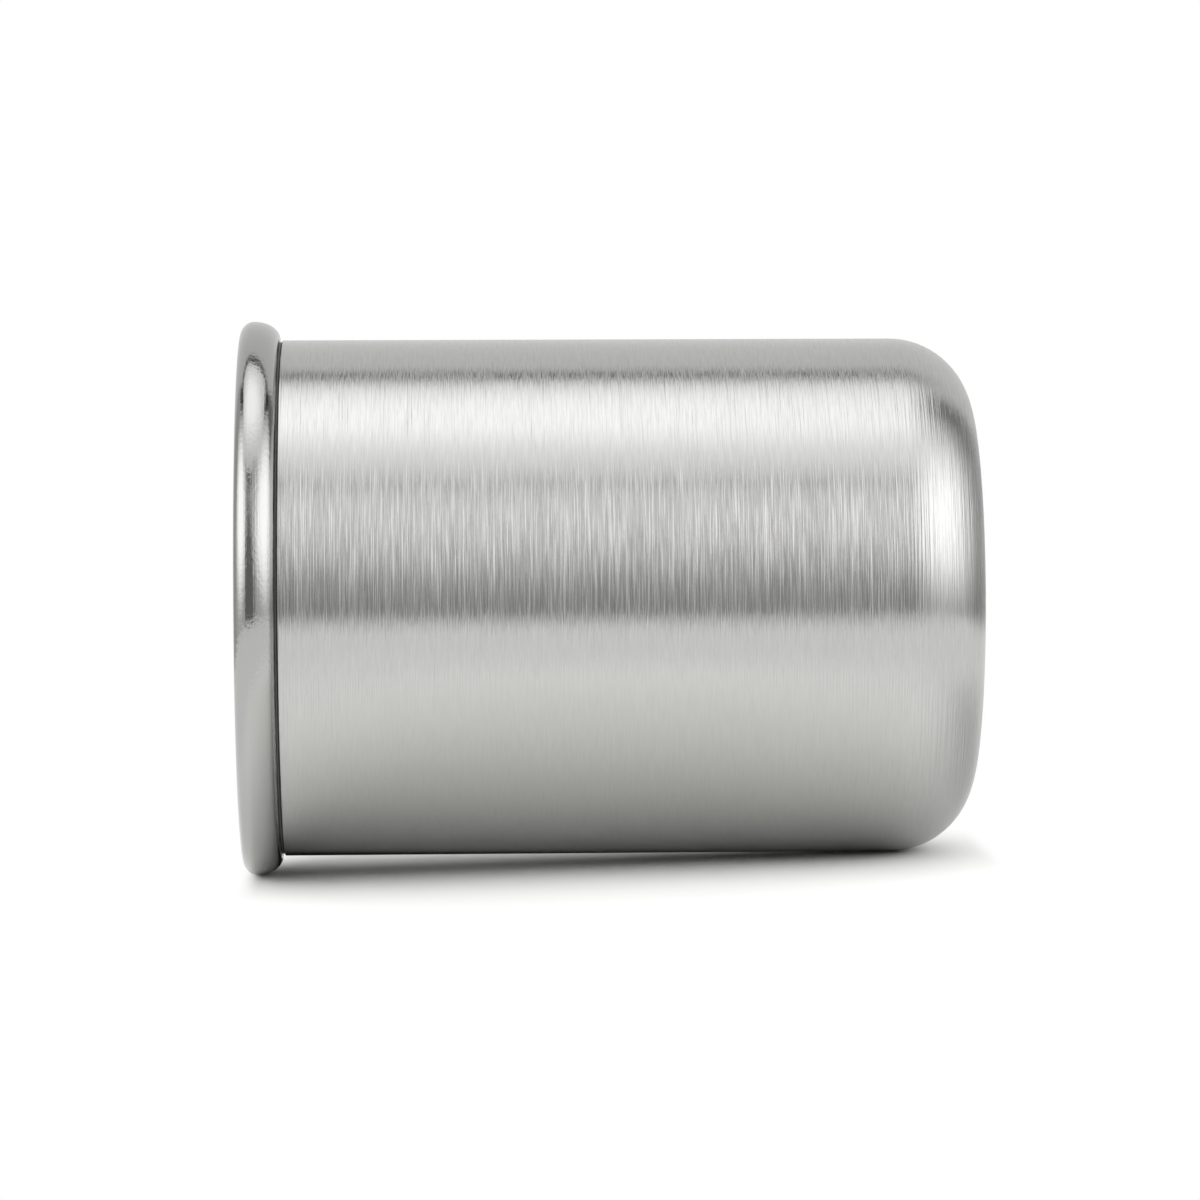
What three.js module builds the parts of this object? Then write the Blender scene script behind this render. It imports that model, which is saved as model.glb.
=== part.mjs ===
// Double-wall stainless steel tumbler: a brushed outer cup, and a liner whose lip rolls over the cup's edge.
// Millimetres, +Z up. The origin is the centre of the resting face, and +Z runs up to the lip.
import * as THREE from "three";

// Driving dimensions: the whole cup
const HEIGHT = 107.5; // resting face to the crown of the lip
const CLEARANCE = 0.3; // left between two pieces that touch
const WALL_DRAFT = 0.15; // radius that both walls lose from the lip's seam to the base corner

// Driving dimensions: the brushed outer shell
const SHELL_RADIUS = 38; // outside, at the lip's seam
const SHELL_WALL = 0.6;
const BASE_CORNER_RADIUS = 12; // outside
const FOOT_WIDTH = 5.2; // flat ring that the cup stands on
const RECESS_SLOPE = 0.5; // radius that the recess loses between the foot and its ceiling

// Driving dimensions: the liner and its rolled lip
const LINER_WALL = 0.6;
const VACUUM_GAP = 1.9; // shell's inside to liner's outside
const LINER_CORNER_RADIUS = 9; // outside
const LIP_OVERHANG = 2.76; // widest ring of the roll, out from the shell
const LIP_CROWN_OFFSET = 0.6; // crown of the roll, out from the shell
const LIP_CROWN_RISE = 2.0; // widest ring up to the crown
const LIP_TUCK_DROP = 3.7; // widest ring down to the free edge at the seam
const LIP_MOUTH_DROP = 3.0; // crown down to where the mouth turns straight

// Driving dimensions: what seals and insulates the vacuum space
const BRAZE_RING_HEIGHT = 2.5;
const FOIL_THICKNESS = 0.2;
const FOIL_END_MARGIN = 3; // bare wall left above and below the foil
const EVACUATION_HOLE_RADIUS = 1.2;
const SEAL_THICKNESS = 0.9; // glass below the hole
const DIMPLE_RADIUS = 5; // where the dimple for the glass leaves the recess
const DIMPLE_SLOPE = 1; // radius that the dimple loses on its way up
const GETTER_RADIUS = 4.2;
const GETTER_THICKNESS = 1.6;
const GETTER_EDGE_ROUND = 0.4;
const GETTER_CLIP_WALL = 0.4;
const GETTER_CLIP_LENGTH = 7;
const GETTER_CLIP_TURN_IN = 1.6; // ledge on each side, under the pellet
const GETTER_CLIP_HEADROOM = 0.9; // clip's underside to the shell's dimple

// Driving dimensions: the disc that closes the recess in the base
const BASE_DISC_THICKNESS = 0.6;
const BASE_DISC_SET_BACK = 0.7; // disc's underside above the resting face
const BASE_DISC_EDGE_ROUND = 0.25;

// How finely round forms are cut
const RING_SEGMENTS = 56;
const PELLET_SEGMENTS = 24;
const ARC_DIVISIONS = 3; // an arc gets twice this many chords
const EDGE_DIVISIONS = 1; // the same, for a small rounded edge

// Heights worked out from the sizes above, from the resting face up
const recessCeiling = BASE_DISC_SET_BACK + BASE_DISC_THICKNESS + CLEARANCE;
const dimpleCeiling = recessCeiling + CLEARANCE + SEAL_THICKNESS;
const clipUnderside = dimpleCeiling + SHELL_WALL + GETTER_CLIP_HEADROOM;
const clipHeight = GETTER_THICKNESS + 2 * CLEARANCE + 2 * GETTER_CLIP_WALL;
const floorUnderside = clipUnderside + clipHeight + CLEARANCE;
const linerCornerTop = floorUnderside + LINER_CORNER_RADIUS;
const mouthHeight = HEIGHT - LIP_MOUTH_DROP;
const widestHeight = HEIGHT - LIP_CROWN_RISE;
const seamHeight = widestHeight - LIP_TUCK_DROP;

// Radii worked out from the sizes above
const shellBaseRadius = SHELL_RADIUS - WALL_DRAFT;
const footOuterRadius = shellBaseRadius - BASE_CORNER_RADIUS;
const footInnerRadius = footOuterRadius - FOOT_WIDTH;
const recessRadius = footInnerRadius - RECESS_SLOPE;
const dimpleCeilingRadius = DIMPLE_RADIUS - DIMPLE_SLOPE;
const shellInsideRadius = SHELL_RADIUS - SHELL_WALL;
const linerOutsideRadius = shellInsideRadius - VACUUM_GAP;
const linerBaseRadius = linerOutsideRadius - WALL_DRAFT;
const linerFloorRadius = linerBaseRadius - LINER_CORNER_RADIUS;
const mouthRadius = linerOutsideRadius - LINER_WALL;
const crownRadius = SHELL_RADIUS + LIP_CROWN_OFFSET;
const widestRadius = SHELL_RADIUS + LIP_OVERHANG;
const tuckRadius = SHELL_RADIUS + CLEARANCE;

const DOWN = -Math.PI / 2;
const OUT = 0;
const UP = Math.PI / 2;
const IN = Math.PI;

// Height of the roll's underside at a radius between the mouth and the crown.
function rollUndersideAt(radius) {
  const across = (crownRadius - radius) / (crownRadius - linerOutsideRadius);
  return mouthHeight + (LIP_MOUTH_DROP - LINER_WALL) * Math.sqrt(1 - across * across);
}

// Radius of the liner's outside at a height on its straight wall.
function linerOutsideAt(height) {
  const down = (mouthHeight - height) / (mouthHeight - linerCornerTop);
  return linerOutsideRadius - WALL_DRAFT * down;
}

function metal(color, roughness) {
  return new THREE.MeshStandardMaterial({ color, roughness, metalness: 1 });
}

// A closed section in radius and height, turned about Z. It runs outwards, up, inwards and down.
function turned(name, section, material, segments = RING_SEGMENTS, divisions = ARC_DIVISIONS) {
  const geometry = new THREE.LatheGeometry(section.getPoints(divisions), segments);
  geometry.rotateX(Math.PI / 2);
  const mesh = new THREE.Mesh(geometry, material);
  mesh.name = name;
  return mesh;
}

// Drawn cup with a rounded base corner, a flat foot, and a recess whose dimple holds the evacuation hole.
function outerShell() {
  const wall = SHELL_WALL;
  const edgeHeight = rollUndersideAt(shellInsideRadius) - CLEARANCE;
  const section = new THREE.Path();
  section.moveTo(EVACUATION_HOLE_RADIUS, dimpleCeiling);
  section.lineTo(dimpleCeilingRadius, dimpleCeiling);
  section.lineTo(DIMPLE_RADIUS, recessCeiling);
  section.lineTo(recessRadius, recessCeiling);
  section.lineTo(footInnerRadius, 0);
  section.lineTo(footOuterRadius, 0);
  section.absarc(footOuterRadius, BASE_CORNER_RADIUS, BASE_CORNER_RADIUS, DOWN, OUT);
  section.lineTo(SHELL_RADIUS, seamHeight);
  section.lineTo(SHELL_RADIUS, edgeHeight);
  section.lineTo(shellInsideRadius, edgeHeight);
  section.lineTo(shellInsideRadius, seamHeight);
  section.absarc(footOuterRadius, BASE_CORNER_RADIUS, BASE_CORNER_RADIUS - wall, OUT, DOWN, true);
  section.lineTo(footInnerRadius + wall, wall);
  section.lineTo(recessRadius + wall, recessCeiling + wall);
  section.lineTo(DIMPLE_RADIUS + wall, recessCeiling + wall);
  section.lineTo(dimpleCeilingRadius + wall, dimpleCeiling + wall);
  section.lineTo(EVACUATION_HOLE_RADIUS, dimpleCeiling + wall);
  section.lineTo(EVACUATION_HOLE_RADIUS, dimpleCeiling);
  return turned("outer_shell", section, metal(0xb4b4b1, 0.38));
}

// Drawn cup whose lip goes over the shell's edge, out and back under, until its free edge meets the shell.
function innerLiner() {
  const wall = LINER_WALL;
  const section = new THREE.Path();
  section.moveTo(0, floorUnderside);
  section.lineTo(linerFloorRadius, floorUnderside);
  section.absarc(linerFloorRadius, linerCornerTop, LINER_CORNER_RADIUS, DOWN, OUT);
  section.lineTo(linerOutsideRadius, mouthHeight);
  rollArcs(section, wall, 1);
  section.lineTo(tuckRadius, seamHeight);
  rollArcs(section, 0, -1);
  section.lineTo(linerBaseRadius - wall, linerCornerTop);
  section.absarc(linerFloorRadius, linerCornerTop, LINER_CORNER_RADIUS - wall, OUT, DOWN, true);
  section.lineTo(0, floorUnderside + wall);
  return turned("inner_liner", section, metal(0xc9c9c6, 0.22));
}

// The roll's three arcs, set in by a depth: outwards over the shell's edge (1) or back again (-1).
function rollArcs(section, depth, direction) {
  const arcs = [
    [crownRadius, mouthHeight, crownRadius - mouthRadius, LIP_MOUTH_DROP, IN, UP],
    [crownRadius, widestHeight, widestRadius - crownRadius, LIP_CROWN_RISE, UP, OUT],
    [tuckRadius, widestHeight, widestRadius - tuckRadius, LIP_TUCK_DROP, OUT, DOWN],
  ];
  const clockwise = direction > 0;
  for (const [radius, height, across, along, first, last] of clockwise ? arcs : arcs.reverse()) {
    const [from, to] = clockwise ? [first, last] : [last, first];
    section.absellipse(radius, height, across - depth, along - depth, from, to, clockwise);
  }
}

// Filler ring that closes the vacuum space between the two walls, just under the roll.
function rimBrazeRing() {
  const inside = linerOutsideRadius + CLEARANCE;
  const outside = shellInsideRadius - CLEARANCE;
  const section = new THREE.Path();
  section.moveTo(inside, 0);
  section.lineTo(outside, 0);
  section.lineTo(outside, BRAZE_RING_HEIGHT);
  section.lineTo(inside, BRAZE_RING_HEIGHT);
  section.lineTo(inside, 0);
  const ring = turned("rim_braze_ring", section, metal(0xa8a39a, 0.5));
  ring.position.z = brazeRingUnderside();
  return ring;
}

function brazeRingUnderside() {
  return rollUndersideAt(linerOutsideRadius + CLEARANCE) - CLEARANCE - BRAZE_RING_HEIGHT;
}

// Thin bright band round the liner that turns radiated heat back.
function insulationFoil() {
  const low = linerCornerTop + FOIL_END_MARGIN;
  const high = brazeRingUnderside() - FOIL_END_MARGIN;
  const insideLow = linerOutsideAt(low) + CLEARANCE;
  const insideHigh = linerOutsideAt(high) + CLEARANCE;
  const section = new THREE.Path();
  section.moveTo(insideLow, low);
  section.lineTo(insideLow + FOIL_THICKNESS, low);
  section.lineTo(insideHigh + FOIL_THICKNESS, high);
  section.lineTo(insideHigh, high);
  section.lineTo(insideLow, low);
  return turned("insulation_foil", section, metal(0xc27a4a, 0.3));
}

// Pressed pellet that takes up stray gas in the vacuum space.
function getterPellet() {
  const round = GETTER_EDGE_ROUND;
  const flat = GETTER_RADIUS - round;
  const section = new THREE.Path();
  section.moveTo(0, 0);
  section.lineTo(flat, 0);
  section.absarc(flat, round, round, DOWN, OUT);
  section.absarc(flat, GETTER_THICKNESS - round, round, OUT, UP);
  section.lineTo(0, GETTER_THICKNESS);
  const pellet = turned("getter_pellet", section, metal(0x55565a, 0.8), PELLET_SEGMENTS, EDGE_DIVISIONS);
  pellet.position.z = GETTER_CLIP_WALL + CLEARANCE;
  return pellet;
}

// Folded strip under the liner's floor: a channel whose two ledges carry the pellet.
function getterClip() {
  const inside = GETTER_RADIUS + CLEARANCE;
  const outside = inside + GETTER_CLIP_WALL;
  const ledge = inside - GETTER_CLIP_TURN_IN;
  const ceiling = clipHeight - GETTER_CLIP_WALL;
  const rightHalf = [
    [outside, clipHeight],
    [outside, 0],
    [ledge, 0],
    [ledge, GETTER_CLIP_WALL],
    [inside, GETTER_CLIP_WALL],
    [inside, ceiling],
  ];
  const leftHalf = rightHalf.map(([across, up]) => [-across, up]).reverse();
  const outline = [...rightHalf, ...leftHalf].map(([across, up]) => new THREE.Vector2(across, up));
  const geometry = new THREE.ExtrudeGeometry(new THREE.Shape(outline), {
    depth: GETTER_CLIP_LENGTH,
    bevelEnabled: false,
  });
  geometry.translate(0, 0, -GETTER_CLIP_LENGTH / 2);
  geometry.rotateX(Math.PI / 2);
  const mesh = new THREE.Mesh(geometry, metal(0x9d9d9a, 0.45));
  mesh.name = "getter_clip";
  return mesh;
}

// Bead of solder glass that fills the dimple and closes the evacuation hole.
function vacuumSeal() {
  const headRadius = dimpleCeilingRadius - CLEARANCE;
  const stemRadius = EVACUATION_HOLE_RADIUS - CLEARANCE;
  const section = new THREE.Path();
  section.absellipse(0, SEAL_THICKNESS, headRadius, SEAL_THICKNESS, DOWN, OUT);
  section.lineTo(stemRadius, SEAL_THICKNESS);
  section.lineTo(stemRadius, SEAL_THICKNESS + CLEARANCE + SHELL_WALL);
  section.lineTo(0, SEAL_THICKNESS + CLEARANCE + SHELL_WALL);
  const material = new THREE.MeshStandardMaterial({ color: 0x4a4038, roughness: 0.15, metalness: 0 });
  const seal = turned("vacuum_seal", section, material, PELLET_SEGMENTS);
  seal.position.z = recessCeiling;
  return seal;
}

// Flat disc that covers the seal and finishes the underside.
function baseDisc() {
  const radius = recessRadius - CLEARANCE;
  const round = BASE_DISC_EDGE_ROUND;
  const section = new THREE.Path();
  section.moveTo(0, 0);
  section.lineTo(radius - round, 0);
  section.absarc(radius - round, round, round, DOWN, OUT);
  section.lineTo(radius, BASE_DISC_THICKNESS);
  section.lineTo(0, BASE_DISC_THICKNESS);
  const disc = turned("base_disc", section, metal(0xbdbdba, 0.35), RING_SEGMENTS, EDGE_DIVISIONS);
  disc.position.z = BASE_DISC_SET_BACK;
  return disc;
}

const getter = new THREE.Group();
getter.add(getterClip(), getterPellet());
getter.position.z = clipUnderside;

const tumbler = new THREE.Group();
tumbler.add(outerShell(), innerLiner(), rimBrazeRing(), insulationFoil(), getter, vacuumSeal(), baseDisc());

export default tumbler;
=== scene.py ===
"""Double-wall steel tumbler: a brushed shell, and a polished liner whose lip rolls over the shell's edge.

Metres, in the part's own frame: the origin is the centre of the resting face and +Z runs up to the lip.
The cup is shown lying on its side. It stays upright here, so the studio is turned instead: its floor lies
along the cup's -X side, and the camera looks along +Y with +X up.
"""

import math

import bpy
from mathutils import Matrix, Vector


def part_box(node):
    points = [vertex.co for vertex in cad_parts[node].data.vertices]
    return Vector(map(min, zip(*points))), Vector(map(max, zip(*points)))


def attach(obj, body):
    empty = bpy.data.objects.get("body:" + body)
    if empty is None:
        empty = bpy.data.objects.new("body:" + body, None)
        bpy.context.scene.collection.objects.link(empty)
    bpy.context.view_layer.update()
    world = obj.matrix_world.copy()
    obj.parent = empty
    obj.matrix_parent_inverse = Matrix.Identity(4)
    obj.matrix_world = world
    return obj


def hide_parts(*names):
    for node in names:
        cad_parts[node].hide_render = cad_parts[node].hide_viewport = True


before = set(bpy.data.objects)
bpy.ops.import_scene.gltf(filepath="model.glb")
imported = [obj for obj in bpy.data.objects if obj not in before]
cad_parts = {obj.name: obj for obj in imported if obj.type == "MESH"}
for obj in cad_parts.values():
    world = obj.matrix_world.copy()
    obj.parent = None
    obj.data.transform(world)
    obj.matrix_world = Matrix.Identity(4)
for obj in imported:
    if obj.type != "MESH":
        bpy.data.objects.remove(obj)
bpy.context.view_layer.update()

bl_info = {
    "name": "Steel tumbler",
    "version": (1, 0, 0),
    "blender": (4, 5, 0),
    "location": "3D View > Sidebar > Tumbler",
    "description": "Builds a double-wall steel tumbler and the studio that shows it",
    "category": "Add Mesh",
}

MM = 0.001
RING_STEPS = 192  # faces round a turned piece
BEND_STEP = math.radians(5)  # turn between two points of a bend
RING_SPACING = 6 * MM  # longest straight stretch between two rings
WELD = 0.001 * MM  # points closer than this are one point
SHARP = math.radians(40)  # edges that turn more than this stay sharp
CUT_EDGE = math.radians(60)  # edges of a sheet that was cut turn more than this
CUT_EDGE_ROUND = 0.12 * MM
ROUND_SEGMENTS = 3  # faces across a rounded cut edge
FLOOR_GAP = 0.05 * MM  # between the floor and the points that rest on it, so that neither shows through
SENSOR_WIDTH = 36  # millimetres
FILL_BACK = 0.6  # how far back the fill's source lies, for each length up
FILL_SPREAD = 0.5  # cosine from its source at which the fill is full
LAMP_SHARE = 0.2  # share of a softbox's half size that shines evenly
ALONG = "along_section"  # attribute: metres along a turned piece's section
SOFT_STEP = {"interpolation_type": "SMOOTHSTEP"}

# How the table looks round the cup
SHADOW_FORWARD = 18 * MM  # middle of the cup's shadow, in front of the axis
SHADOW_REACH = 54 * MM  # radius in which the table keeps the shadow
WHITE_START = 97.2 * MM  # radius past which the table is pure white
END_INSIDE = 1.5 * MM  # inside the cup's ends, where the shadow starts to fade
END_OUTSIDE = 2 * MM  # past the cup's ends, where the shadow is gone
SHADE_PAST = 28 * MM  # middle of the soft shade, past the base
SHADE_BACK = 5 * MM  # middle of the soft shade, behind the axis
SHADE_CORE = 10 * MM  # radius in which the shade is full
SHADE_REACH = 65 * MM  # radius past which the shade is gone
# painted shadow in the gap under the cup, which only the steel shows
GAP_FRONT = 6 * MM  # where the gap under the cup starts to darken, in front of the axis
GAP_BACK = 3 * MM  # where the gap is full, behind the axis
GAP_FADE = 4 * MM  # half of the stretch in which the gap ends at the base corner


# Sizes and colours that a user would change

def linear(code):
    """Linear red, green and blue of an sRGB hex colour."""
    shares = [int(code[i:i + 2], 16) / 255 for i in (1, 3, 5)]
    return [s / 12.92 if s <= 0.04045 else ((s + 0.055) / 1.055) ** 2.4 for s in shares]


def length(name, description, default):
    """A property that holds a length in metres."""
    return bpy.props.FloatProperty(
        name=name, description=description, default=default, min=0,
        precision=5, subtype="DISTANCE", unit="LENGTH",
    )


def colour(name, description, code):
    """A property that holds a colour, with an sRGB hex value as its default."""
    return bpy.props.FloatVectorProperty(
        name=name, description=description, default=linear(code), size=3, min=0, max=1, subtype="COLOR"
    )


def strength(name, description, default):
    """A property that holds a brightness, where 1 is white."""
    return bpy.props.FloatProperty(name=name, description=description, default=default, min=0)


def angle(name, description, degrees):
    """A property that holds an angle."""
    return bpy.props.FloatProperty(
        name=name, description=description, default=math.radians(degrees), subtype="ANGLE", unit="ROTATION"
    )


def low(node):
    """Height of a CAD node's lowest point."""
    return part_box(node)[0].z


def high(node):
    """Height of a CAD node's highest point."""
    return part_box(node)[1].z


def reach(node):
    """How far a CAD node reaches out from the axis."""
    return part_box(node)[1].x


class TumblerSizes(bpy.types.PropertyGroup):
    """Sizes of the cup's pieces."""

    shell_radius: length("Shell radius", "Outside of the shell, at the lip's seam", reach("outer_shell"))
    shell_top: length("Shell top", "Height of the shell's cut edge, under the roll", high("outer_shell"))
    shell_wall: length("Shell wall", "Thickness of the shell's sheet", 0.6 * MM)
    wall_draft: length("Wall draft", "Radius that both walls lose from the lip to the base", 0.15 * MM)
    base_corner: length("Base corner", "Radius of the rounded corner round the base", 12 * MM)
    foot_width: length("Foot width", "Width of the flat ring that the cup stands on", 5.2 * MM)
    recess_slope: length("Recess slope", "Radius that the recess loses on its way up", 0.5 * MM)
    recess_ceiling: length("Recess ceiling", "Height of the recess under the base", low("vacuum_seal"))
    dimple_radius: length("Dimple radius", "Mouth of the dimple that holds the glass", 5 * MM)
    dimple_slope: length("Dimple slope", "Radius that the dimple loses on its way up", 1 * MM)
    dimple_depth: length("Dimple depth", "Recess up to the dimple's ceiling", 1.2 * MM)
    hole_radius: length("Hole radius", "Evacuation hole in the dimple", 1.2 * MM)
    press_bend: length("Press bend", "Radius of the pressed bends under the base", 0.9 * MM)
    seam_width: length("Seam width", "Width of the groove in the shell, below the roll", 0.45 * MM)
    seam_depth: length("Seam depth", "Depth of that groove", 0.3 * MM)
    seam_bend: length("Seam bend", "Radius of the groove's inner corner", 0.08 * MM)
    seam_shoulder: length("Seam shoulder", "Radius of the shell's edge along the groove", 0.22 * MM)

    lip_radius: length("Lip radius", "Widest ring of the roll", reach("inner_liner"))
    lip_top: length("Lip top", "Height of the roll's crown", high("inner_liner"))
    liner_floor: length("Liner floor", "Height of the liner's underside", low("inner_liner"))
    liner_wall: length("Liner wall", "Thickness of the liner's sheet", 0.6 * MM)
    liner_corner: length("Liner corner", "Outside radius of the liner's lower corner", 9 * MM)
    mouth_radius: length("Mouth radius", "Inside of the liner, below the roll", 34.9 * MM)
    crown_offset: length("Crown offset", "Crown of the roll, out from the shell", 0.6 * MM)
    crown_rise: length("Crown rise", "Widest ring up to the crown", 2.0 * MM)
    tuck_drop: length("Tuck drop", "Widest ring down to the free edge at the seam", 3.7 * MM)
    tuck_gap: length("Tuck gap", "Free edge of the roll, out from the shell", 0.3 * MM)
    mouth_drop: length("Mouth drop", "Crown down to where the mouth turns straight", 3.0 * MM)

    braze_inside: length("Braze inside", "Inside radius of the braze ring", 35.8 * MM)
    braze_meniscus: length("Braze meniscus", "How far the ring's ends draw in between the walls", 0.3 * MM)
    foil_thickness: length("Foil thickness", "Thickness of the foil", 0.2 * MM)
    foil_crinkle: length("Foil crinkle", "Depth of the foil's crinkles", 0.12 * MM)
    crinkle_size: length("Crinkle size", "Width of the foil's crinkles", 9 * MM)
    clip_wall: length("Clip wall", "Thickness of the getter clip's strip", 0.4 * MM)
    clip_turn_in: length("Clip turn-in", "Ledge on each side of the clip, under the pellet", 1.6 * MM)
    clip_bend: length("Clip bend", "Radius of the clip's bends", 0.5 * MM)
    pellet_edge: length("Pellet edge", "Radius of the pellet's pressed edges", 0.4 * MM)
    pellet_dish: length("Pellet dish", "Depth of the dish in the pellet's top", 0.15 * MM)
    seal_head: length("Seal head", "Height of the glass below the hole", 0.9 * MM)
    seal_stem: length("Seal stem", "Radius of the glass inside the hole", 0.9 * MM)
    disc_edge: length("Disc edge", "Radius of the base disc's rounded edges", 0.2 * MM)


class TumblerColours(bpy.types.PropertyGroup):
    """Colours of the cup's finishes."""

    shell: colour("Shell", "Brushed stainless steel", "#c6c6c4")
    liner: colour("Liner", "Polished stainless steel of the roll", "#b4b4b2")
    liner_inside: colour("Liner inside", "Blasted stainless steel inside the cup", "#d8d8d5")
    braze: colour("Braze", "Nickel braze filler", "#a8a39a")
    foil: colour("Foil", "Rolled copper foil", "#d9976f")
    clip: colour("Clip", "Cold-rolled spring steel", "#a9a9a6")
    pellet: colour("Pellet", "Pressed getter powder", "#55565a")
    seal: colour("Seal", "Fused solder glass", "#4a4038")
    disc: colour("Disc", "Faced stainless steel", "#c6c6c3")
    # painted shade: a near black colour for the shadow in the groove under the roll
    seam_shade: colour("Seam shade", "Painted shade in the groove under the roll", "#1a1817")
    floor: colour("Floor", "Matte white table", "#f4f4f3")


class TumblerStudio(bpy.types.PropertyGroup):
    """Camera, floor and light."""

    camera_back: length("Camera back", "Camera to the cup's axis", 865.1 * MM)
    camera_height: length("Camera height", "Camera above the resting face, along the cup's axis", 76.1 * MM)
    aim_height: length("Aim height", "Middle of the picture above the resting face", 54.77 * MM)
    aim_below: length("Aim below", "Middle of the picture below the cup's axis", 0.56 * MM)
    camera_roll: angle("Camera roll", "Turn of the picture, clockwise", 0.33)
    lens: bpy.props.FloatProperty(
        name="Lens", description="Focal length", default=175.6, min=1,
        subtype="DISTANCE_CAMERA", unit="CAMERA",
    )
    floor_turn: angle("Floor turn", "Turn of the floor about the cup's axis, away from straight below", 2.8)
    floor_radius: length("Floor radius", "Radius of the round table under the cup", 0.34)
    shade: strength("Shade", "Brightness of the table in the soft shade past the base", 0.6)
    # painted shadow: the table's colour in the gap under the cup, which only the steel shows
    gap: strength("Gap", "Brightness of the table in the dark gap under the cup", 0.03)
    overhead: strength("Overhead", "Brightness of the softbox above, at its edge", 1.13)
    overhead_centre: strength("Overhead centre", "Brightness that its middle adds", 0.7)
    sides: strength("Sides", "Brightness of the two softboxes in front, at their edge", 0.65)
    sides_centre: strength("Sides centre", "Brightness that their middle adds", 1.45)
    wall: strength("Wall", "Brightness of the wall behind", 0.72)
    front: strength("Front", "Brightness of the dark room behind the camera", 0.2)
    flag_left: strength("Left flag", "Brightness of the dark flag at the left", 0.5)
    flag_right: strength("Right flag", "Brightness of the dark flag at the right", 0.2)
    low_front: strength("Low front", "Brightness of the room below the softboxes", 0.5)
    ceiling: strength("Ceiling", "Brightness of the dark ceiling behind the softbox", 0.02)
    fill: strength("Fill", "Light that comes from above and behind", 1.62)


# Outlines in radius and height

def arc(centre, across, up, first, last):
    """Points of an ellipse's arc between two angles, both included."""
    count = math.ceil(abs(last - first) / BEND_STEP)
    turns = [first + (last - first) * i / count for i in range(count + 1)]
    return [Vector((centre[0] + across * math.cos(t), centre[1] + up * math.sin(t))) for t in turns]


def bent(*corners):
    """Line through corners, each a radius, a height and the radius of its bend."""
    points = [Vector(corner[:2]) for corner in corners]
    line = [points[0]]
    for before, here, after, corner in zip(points, points[1:], points[2:], corners[1:]):
        bend = corner[2]
        back = (before - here).normalized()
        onward = (after - here).normalized()
        half = back.angle(onward) / 2
        centre = here + (back + onward).normalized() * bend / math.sin(half)
        first = (here + back * bend / math.tan(half) - centre).normalized()
        last = (here + onward * bend / math.tan(half) - centre).normalized()
        count = math.ceil(first.angle(last) / BEND_STEP)
        line += [centre + first.slerp(last, i / count) * bend for i in range(count + 1)]
    line.append(points[-1])
    return line


def with_rings(line):
    """The line with points added, so that no stretch is longer than the ring spacing."""
    out = [line[0]]
    for here, after in zip(line, line[1:]):
        count = math.ceil((after - here).length / RING_SPACING)
        out += [here.lerp(after, (i + 1) / count) for i in range(count)]
    return out


def set_back(line, wall):
    """The line moved by a sheet's thickness, to the left of the way that it runs."""
    moved = []
    for before, here, after in zip([line[0], *line], line, [*line[1:], line[-1]]):
        way = (after - before).normalized()
        moved.append(here + Vector((-way.y, way.x)) * wall)
    return moved


def sheet_section(face, wall):
    """Section of a sheet: its face, and then the same line set back by its thickness, the other way."""
    face = with_rings(face)
    return face + set_back(face, wall)[::-1]


# Modelling steps that several pieces share

def start_piece(name):
    """Adds a small plane at the origin, merges it to one point, and stays in edit mode."""
    bpy.ops.object.select_all(action="DESELECT")
    bpy.ops.mesh.primitive_plane_add(size=MM)
    piece = bpy.context.object
    piece.name = name
    piece.data.name = name
    bpy.ops.object.mode_set(mode="EDIT")
    bpy.ops.mesh.merge(type="CENTER")
    return piece


def draw(line, depth=0):
    """Moves the start point to a line's first point and extrudes it along the line, at one depth in Y."""
    bpy.ops.transform.translate(value=(line[0].x, depth, line[0].y))
    for here, after in zip(line, line[1:]):
        step = (after.x - here.x, 0, after.y - here.y)
        bpy.ops.mesh.extrude_vertices_move(TRANSFORM_OT_translate={"value": step})


def mark_along(piece, line):
    """Stores at each point of a drawn line how far along the line it lies."""
    lengths = [0.0]
    for here, after in zip(line, line[1:]):
        lengths.append(lengths[-1] + (after - here).length)
    marks = piece.data.attributes.new(ALONG, "FLOAT", "POINT")
    marks.data.foreach_set("value", lengths)


def spin_piece(name, section):
    """Draws a section and spins it once round the axis."""
    piece = start_piece(name)
    draw(section)
    bpy.ops.object.mode_set(mode="OBJECT")
    mark_along(piece, section)
    bpy.ops.object.mode_set(mode="EDIT")
    bpy.ops.mesh.select_all(action="SELECT")
    bpy.ops.mesh.spin(steps=RING_STEPS, angle=math.tau, center=(0, 0, 0), axis=(0, 0, 1))
    bpy.ops.mesh.select_all(action="SELECT")
    bpy.ops.mesh.remove_doubles(threshold=WELD)
    bpy.ops.mesh.normals_make_consistent(inside=False)
    bpy.ops.object.mode_set(mode="OBJECT")
    return piece


def apply_modifier(piece, kind, **settings):
    """Adds a modifier with its settings and applies it."""
    modifier = piece.modifiers.new(kind.lower(), kind)
    for name, value in settings.items():
        setattr(modifier, name, value)
    bpy.ops.object.modifier_apply(modifier=modifier.name)


def round_cut_edges(piece, width=CUT_EDGE_ROUND):
    """Takes the sharpness off the edges where a sheet was cut."""
    limit = {"limit_method": "ANGLE", "angle_limit": CUT_EDGE}
    apply_modifier(piece, "BEVEL", width=width, segments=ROUND_SEGMENTS, **limit)


def finish_piece(piece, node, material):
    """Gives a piece its finish, and puts it on the cup's body in the place of a CAD node."""
    bpy.ops.object.shade_smooth_by_angle(angle=SHARP)
    piece.data.materials.clear()
    piece.data.materials.append(material)
    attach(piece, "root")
    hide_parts(node)


# Finishes

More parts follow.
